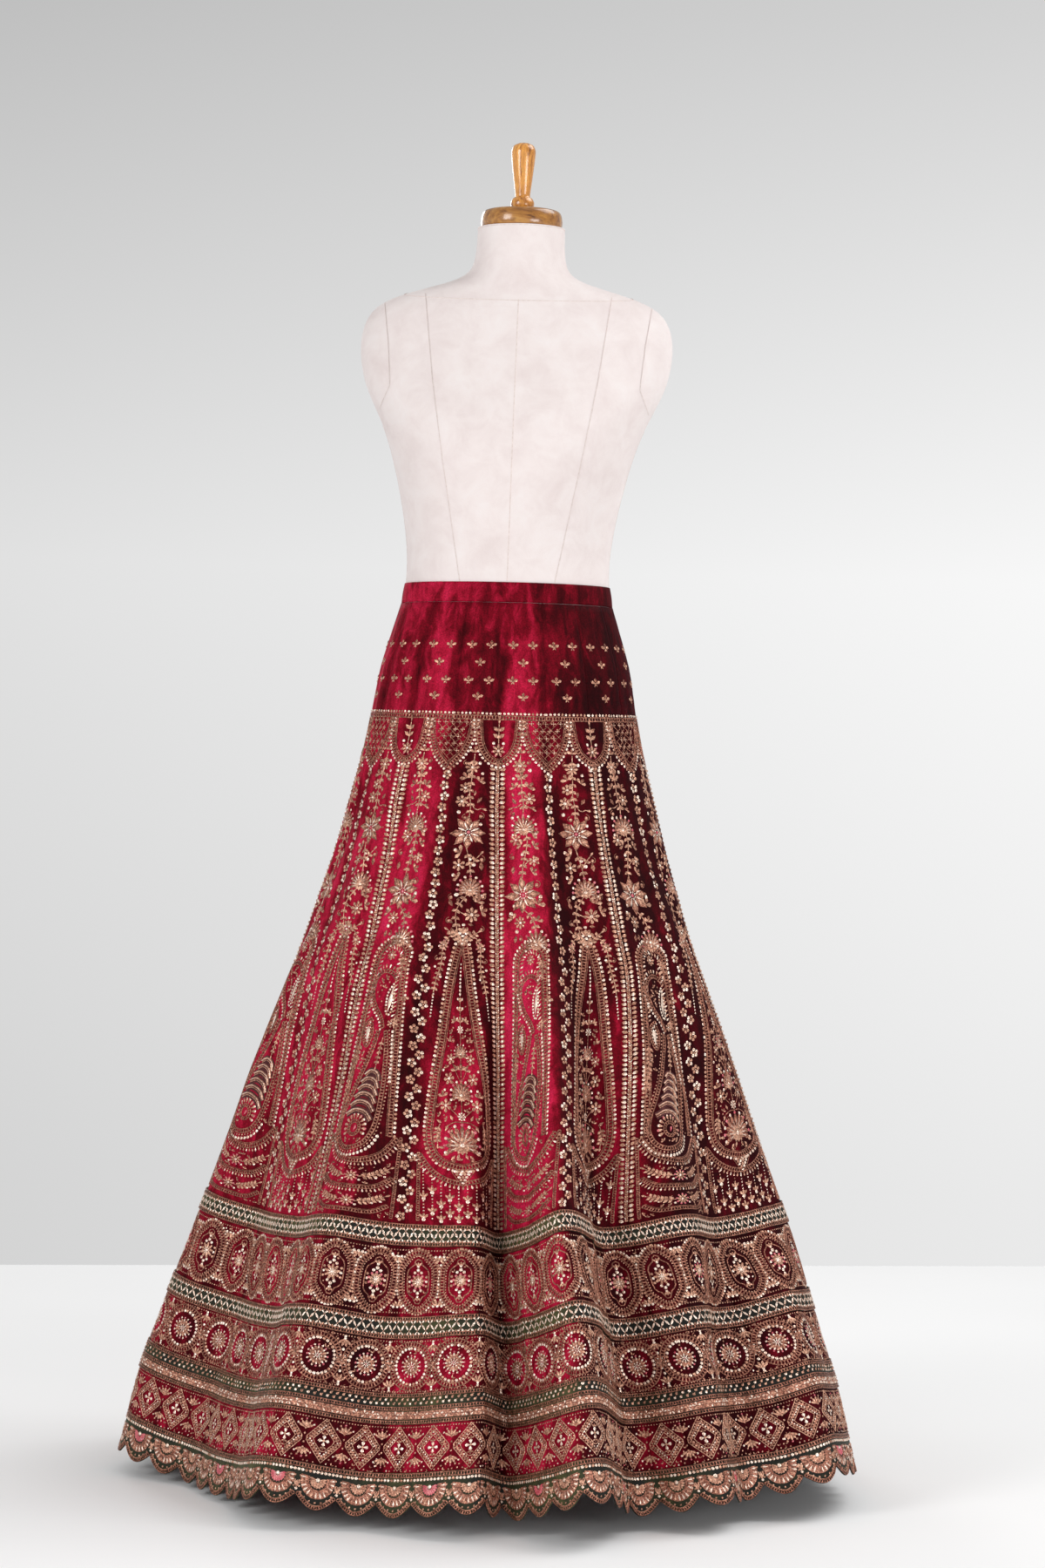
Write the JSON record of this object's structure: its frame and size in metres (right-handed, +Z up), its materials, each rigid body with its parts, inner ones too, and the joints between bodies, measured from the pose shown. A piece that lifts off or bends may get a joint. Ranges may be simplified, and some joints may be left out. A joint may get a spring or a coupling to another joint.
{
  "type": "lehenga skirt on a dress form",
  "caption": "Flared floor-length panelled velvet lehenga skirt with green embroidered bands and a scalloped hem, worn on a limbless dress form on a pole stand.",
  "frame": {"origin": "centre of the stand base's underside, on the floor under the middle of the dress form", "axes": "+Z up, the front of the skirt faces -Y, +X to the right of someone who looks at the front"},
  "size_m": [0.9047, 0.8909, 1.6556],
  "materials": {
    "velvet": "crimson silk velvet with a raised nap, covered with dull gold zari embroidery, sequins and beads",
    "green_bands": "dark olive green velvet under close gold embroidery and sequins",
    "form_cover": "matt off-white stretch cotton cover with a fine knit",
    "turned_wood": "turned hardwood with a glossy golden-brown varnish",
    "steel": "plain brushed steel"
  },
  "bodies": {
    "root": {"kali_01": "velvet", "kali_02": "velvet", "kali_03": "velvet", "kali_04": "velvet", "kali_05": "velvet", "kali_06": "velvet", "kali_07": "velvet", "kali_08": "velvet", "kali_09": "velvet", "kali_10": "velvet", "kali_11": "velvet", "kali_12": "velvet", "kali_13": "velvet", "kali_14": "velvet", "kali_15": "velvet", "kali_16": "velvet", "waistband": "velvet", "band_upper": "green_bands", "band_middle": "green_bands", "band_lower": "green_bands", "hem_border": "green_bands", "form_body": "form_cover", "form_cap": "turned_wood", "form_knob": "turned_wood", "stand_pole": "steel", "stand_base": "steel"}
  },
  "joints": []
}
